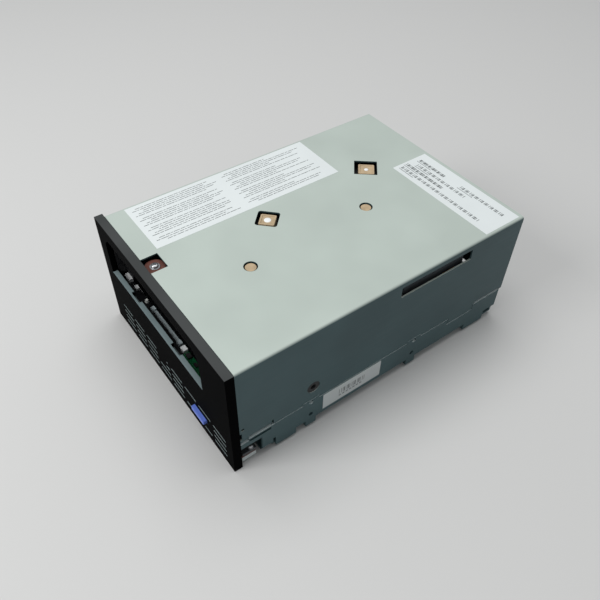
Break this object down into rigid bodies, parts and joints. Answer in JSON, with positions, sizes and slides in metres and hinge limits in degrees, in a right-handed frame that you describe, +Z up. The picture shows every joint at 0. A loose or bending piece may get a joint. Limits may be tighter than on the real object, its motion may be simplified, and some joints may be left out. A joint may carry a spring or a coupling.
{
  "type": "data tape drive",
  "caption": "Full-height 5.25-inch data tape drive with a front cartridge slot, blue eject button, vented black bezel and sheet-metal body.",
  "frame": {"origin": "centre of the four bottom mounting holes, on the underside of the base", "axes": "+X to the right seen from the front, +Y to the rear, +Z up"},
  "size_m": [0.1487, 0.2144, 0.0847],
  "materials": {
    "cover_sheet": "satin",
    "base_sheet": "satin",
    "black_plastic": "matte",
    "blue_plastic": "satin",
    "black_steel": "satin black",
    "deck_metal": "cast",
    "bright_steel": "bright",
    "tan_foam": "matte",
    "brown_rubber": "matte",
    "dark_rubber": "matte",
    "board_green": "solder mask",
    "white_plastic": "satin",
    "chip_black": "matte",
    "capacitor_can": "satin",
    "grey_plastic": "matte",
    "reel_plastic": "satin",
    "gear_plastic": "satin",
    "brass_worm": "machined",
    "roller_metal": "polished",
    "head_metal": "lapped",
    "label_white": "paper film",
    "led_lens": "clear",
    "copper_flex": "film"
  },
  "bodies": {
    "chassis": {"base_pan": "base_sheet", "board_capacitors": "capacitor_can", "board_chips": "chip_black", "board_headers": "white_plastic", "board_standoffs": "bright_steel", "button_switch": "chip_black", "cover_screws": "bright_steel", "data_connector": "black_plastic", "deck_casting": "deck_metal", "deck_posts": "bright_steel", "frame_posts": "bright_steel", "front_bezel": "black_plastic", "front_brackets": "bright_steel", "front_sensor_board": "board_green", "head_flex_cable": "copper_flex", "head_frame": "deck_metal", "head_stepper": "bright_steel", "isolator_pads": "tan_foam", "loader_motor": "bright_steel", "loader_side_left": "black_steel", "loader_side_right": "black_steel", "main_board": "board_green", "motor_bracket": "bright_steel", "mount_grommets": "brown_rubber", "mount_screws": "bright_steel", "pad_screws": "bright_steel", "power_connector": "white_plastic", "rear_label": "label_white", "roller_posts": "bright_steel", "sensor_board_chips": "chip_black", "side_grommets": "dark_rubber", "side_label": "label_white", "slot_bar": "bright_steel", "slot_crossbar": "black_steel", "slot_sensors": "white_plastic", "status_led": "led_lens", "supply_motor": "grey_plastic", "takeup_motor": "grey_plastic", "threader_guide": "grey_plastic", "top_cover": "cover_sheet", "top_label": "label_white", "top_plate": "black_steel"},
    "button": {"eject_button": "blue_plastic"},
    "slider": {"loader_slider": "bright_steel"},
    "tray": {"cartridge_tray": "black_steel"},
    "compound_gear": {"worm_wheel": "gear_plastic"},
    "worm_shaft": {"worm": "brass_worm"},
    "supply_drive": {"supply_clutch": "bright_steel"},
    "takeup": {"takeup_reel": "reel_plastic", "reel_flange_lower": "reel_plastic", "reel_flange_upper": "reel_plastic"},
    "head": {"head_carriage": "deck_metal", "tape_head": "head_metal"},
    "head_screw": {"lead_screw": "bright_steel"},
    "roller_1": {"guide_roller_1": "roller_metal"},
    "roller_2": {"guide_roller_2": "roller_metal"},
    "roller_3": {"guide_roller_3": "roller_metal"},
    "roller_4": {"guide_roller_4": "roller_metal"}
  },
  "joints": [
    {"name": "button_press", "type": "slide", "parent": "chassis", "child": "button", "axis": [0, 1, 0], "range_m": [0, 0.0015], "stiffness_N_per_m": 400},
    {"name": "slider_travel", "type": "slide", "parent": "chassis", "child": "slider", "axis": [0, 1, 0], "range_m": [0, 0.022]},
    {"name": "tray_drop", "type": "slide", "parent": "slider", "child": "tray", "axis": [0, 0, 1], "range_m": [-0.009, 0]},
    {"name": "wheel_spin", "type": "hinge", "parent": "chassis", "child": "compound_gear", "pos_m": [0.055, -0.03703, 0.033], "axis": [1, 0, 0], "range_deg": [-210.09, 0]},
    {"name": "worm_spin", "type": "hinge", "parent": "chassis", "child": "worm_shaft", "pos_m": [0.0615, -0.04702, 0.045], "axis": [0, 1, 0], "range_deg": [-6302.54, 0]},
    {"name": "supply_spin", "type": "hinge", "parent": "chassis", "child": "supply_drive", "pos_m": [-0.01, -0.02902, 0.03], "axis": [0, 0, 1], "continuous": true},
    {"name": "takeup_spin", "type": "hinge", "parent": "chassis", "child": "takeup", "pos_m": [-0.005, 0.06847, 0.031], "axis": [0, 0, 1], "continuous": true},
    {"name": "head_shift", "type": "slide", "parent": "chassis", "child": "head", "axis": [0, 0, 1], "range_m": [-0.003, 0.003]},
    {"name": "lead_screw_spin", "type": "hinge", "parent": "chassis", "child": "head_screw", "pos_m": [0.066, 0.04897, 0.04], "axis": [0, 0, 1], "range_deg": [-1080, 1080]},
    {"name": "roller_1_spin", "type": "hinge", "parent": "chassis", "child": "roller_1", "pos_m": [0.05, 0.02297, 0.048], "axis": [0, 0, 1], "continuous": true},
    {"name": "roller_2_spin", "type": "hinge", "parent": "chassis", "child": "roller_2", "pos_m": [0.055, 0.03397, 0.048], "axis": [0, 0, 1], "continuous": true},
    {"name": "roller_3_spin", "type": "hinge", "parent": "chassis", "child": "roller_3", "pos_m": [0.055, 0.06398, 0.048], "axis": [0, 0, 1], "continuous": true},
    {"name": "roller_4_spin", "type": "hinge", "parent": "chassis", "child": "roller_4", "pos_m": [0.05, 0.07497, 0.048], "axis": [0, 0, 1], "continuous": true}
  ],
  "couplings": [
    {"joint": "tray_drop", "follows": "slider_travel", "ratio": -0.40909},
    {"joint": "wheel_spin", "follows": "slider_travel", "rad_per_m": -166.67},
    {"joint": "worm_spin", "follows": "slider_travel", "rad_per_m": -5000},
    {"joint": "lead_screw_spin", "follows": "head_shift", "rad_per_m": -6283.2}
  ]
}
